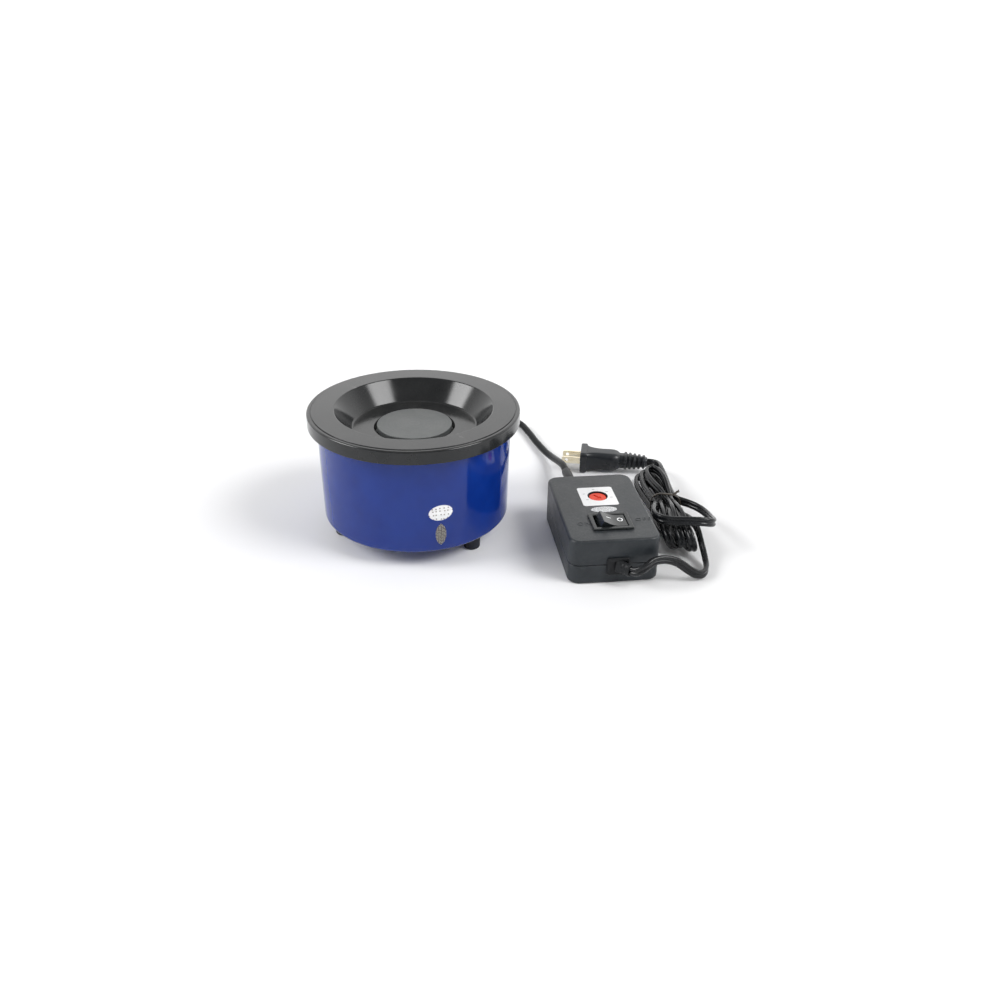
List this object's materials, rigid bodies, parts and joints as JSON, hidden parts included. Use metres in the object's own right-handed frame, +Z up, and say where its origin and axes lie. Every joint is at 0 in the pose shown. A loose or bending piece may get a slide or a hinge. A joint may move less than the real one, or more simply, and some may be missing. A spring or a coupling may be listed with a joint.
{
  "type": "tabletop pottery wheel",
  "caption": "Small electric pottery wheel: a round drum with a splash basin and a flat wheel head, on a lead to a control box with a rocker switch, a speed knob and a plug.",
  "frame": {"origin": "centre of the footprint of the wheel and its control box, on the floor, with the leads, the plug and the strain reliefs left out", "axes": "+Z up along the wheel axis, +X from the wheel towards its control box, +Y away from the box's switch end, towards the drum's strain relief"},
  "size_m": [0.3272, 0.3212, 0.105],
  "materials": {
    "blue_enamel": "gloss",
    "black_plastic": "satin",
    "grey_abs": "matte",
    "red_plastic": "gloss",
    "glossy_black": "gloss",
    "rubber": "matte",
    "cord_pvc": "satin",
    "satin_metal": "satin",
    "zinc": "satin",
    "steel": "polished",
    "brass": "satin",
    "copper": "satin",
    "ferrite": "matte",
    "board_green": "satin"
  },
  "bodies": {
    "base": {"drum_housing": "blue_enamel", "basin_lid": "black_plastic", "foot_1": "rubber", "foot_2": "rubber", "foot_3": "rubber", "foot_screw_1": "zinc", "foot_screw_2": "zinc", "foot_screw_3": "zinc", "pillar_1": "zinc", "pillar_2": "zinc", "pillar_3": "zinc", "motor_plate": "zinc", "plate_screw_1": "zinc", "plate_screw_2": "zinc", "plate_screw_3": "zinc", "motor_screw_1": "zinc", "motor_screw_2": "zinc", "motor_can": "zinc", "motor_end_cap": "black_plastic", "magnet_1": "ferrite", "magnet_2": "ferrite", "brush_1": "ferrite", "brush_2": "ferrite", "upper_bearing": "steel", "lower_bearing": "steel", "drum_strain_relief": "rubber", "box_upper_shell": "grey_abs", "box_lower_shell": "grey_abs", "box_screw_1": "zinc", "box_screw_2": "zinc", "box_screw_3": "zinc", "box_screw_4": "zinc", "switch_frame": "glossy_black", "potentiometer": "zinc", "circuit_board": "board_green", "transformer": "ferrite", "capacitor": "cord_pvc", "heat_sink": "zinc", "box_dc_relief": "rubber", "mains_relief": "rubber", "dc_lead": "cord_pvc", "mains_lead": "cord_pvc", "mains_hank": "cord_pvc", "cord_tie": "rubber", "mains_tail": "cord_pvc", "plug_body": "glossy_black", "plug_blade_1": "brass", "plug_blade_2": "brass"},
    "spindle": {"wheel_head": "satin_metal", "hub_grub_screw": "steel", "motor_shaft": "steel", "armature_core": "ferrite", "winding_upper": "copper", "winding_lower": "copper", "commutator": "copper"},
    "rocker": {"rocker_button": "glossy_black"},
    "knob": {"speed_knob": "red_plastic"}
  },
  "joints": [
    {"name": "wheel_spin", "type": "hinge", "parent": "base", "child": "spindle", "pos_m": [-0.05378, 0.0045, 0], "axis": [0, 0, 1], "continuous": true},
    {"name": "rocker_tilt", "type": "hinge", "parent": "base", "child": "rocker", "pos_m": [0.10241, -0.05846, 0.0317], "axis": [0.1392, -0.9903, 0], "range_deg": [0, 28]},
    {"name": "knob_turn", "type": "hinge", "parent": "base", "child": "knob", "pos_m": [0.09554, -0.0153, 0], "axis": [0, 0, 1], "range_deg": [-120, 150]}
  ]
}
